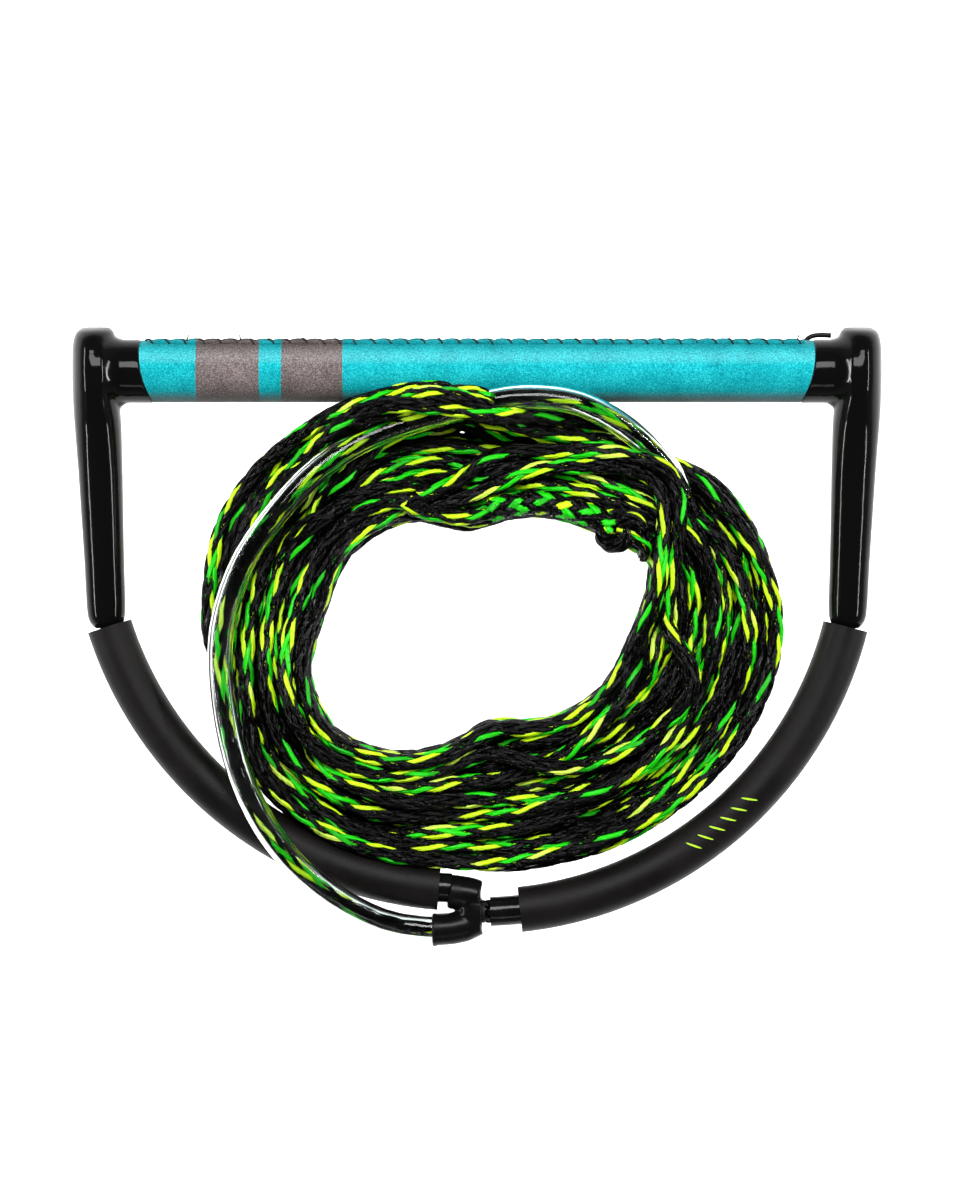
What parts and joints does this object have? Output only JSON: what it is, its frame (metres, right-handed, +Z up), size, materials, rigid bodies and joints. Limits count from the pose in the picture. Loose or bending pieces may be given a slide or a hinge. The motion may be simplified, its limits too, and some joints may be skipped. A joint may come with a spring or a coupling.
{
  "type": "tow rope handle",
  "caption": "Padded tow bar with moulded elbow ends, a rope bridle in foam floats, a yoke and a coiled braided mainline.",
  "frame": {"origin": "on the ground, under the middle of the handle without its mainline", "axes": "+X along the bar to the right, +Y from the yoke to the bar, +Z up from the ground the handle lies on"},
  "size_m": [0.381, 0.2911, 0.0473],
  "materials": {
    "tube_alloy": "drawn tube, satin",
    "foam_underlay": "closed-cell foam",
    "grip_fabric": "brushed synthetic suede with a printed pattern",
    "thread_black": "waxed thread",
    "cap_gloss": "moulded, high gloss",
    "plug_rubber": "moulded rubber",
    "bridle_line": "braided line",
    "vinyl_black": "dipped vinyl, glossy",
    "float_foam": "closed-cell foam, matte",
    "vinyl_clear": "clear vinyl tube",
    "rope_braid": "braided polyethylene, black with bright green marker yarns"
  },
  "bodies": {
    "handle": {"bar_tube": "tube_alloy", "grip_foam": "foam_underlay", "grip_cover": "grip_fabric", "seam_thread": "thread_black", "end_cap_left": "cap_gloss", "end_cap_right": "cap_gloss", "bar_plug_left": "plug_rubber", "bar_plug_right": "plug_rubber", "bar_rope": "bridle_line"},
    "bridle": {"bridle_rope": "bridle_line", "bridle_sleeve_left": "vinyl_black", "bridle_sleeve_right": "vinyl_black", "yoke_boot": "vinyl_black", "splice_tail": "rope_braid", "splice_whipping": "thread_black"},
    "left_float": {"float_left": "float_foam"},
    "right_float": {"float_right": "float_foam"},
    "mainline": {"clear_sleeve": "vinyl_clear", "mainline_lead": "rope_braid", "rope_coil": "rope_braid"}
  },
  "joints": [
    {"name": "bridle_fold", "type": "hinge", "parent": "handle", "child": "bridle", "pos_m": [0, 0.0124, 0.01075], "axis": [1, 0, 0], "range_deg": [0, 55]},
    {"name": "left_float_slide", "type": "hinge", "parent": "bridle", "child": "left_float", "pos_m": [-0.00395, 0.05937, 0.01075], "axis": [0, 0, 1], "range_deg": [0, 1.2]},
    {"name": "right_float_slide", "type": "hinge", "parent": "bridle", "child": "right_float", "pos_m": [0.00134, 0.04849, 0.01075], "axis": [0, 0, -1], "range_deg": [0, 3.8]},
    {"name": "mainline_swing", "type": "hinge", "parent": "bridle", "child": "mainline", "pos_m": [-0.0205, -0.1386, 0.01075], "axis": [1, 0, 0], "range_deg": [0, 150]}
  ]
}
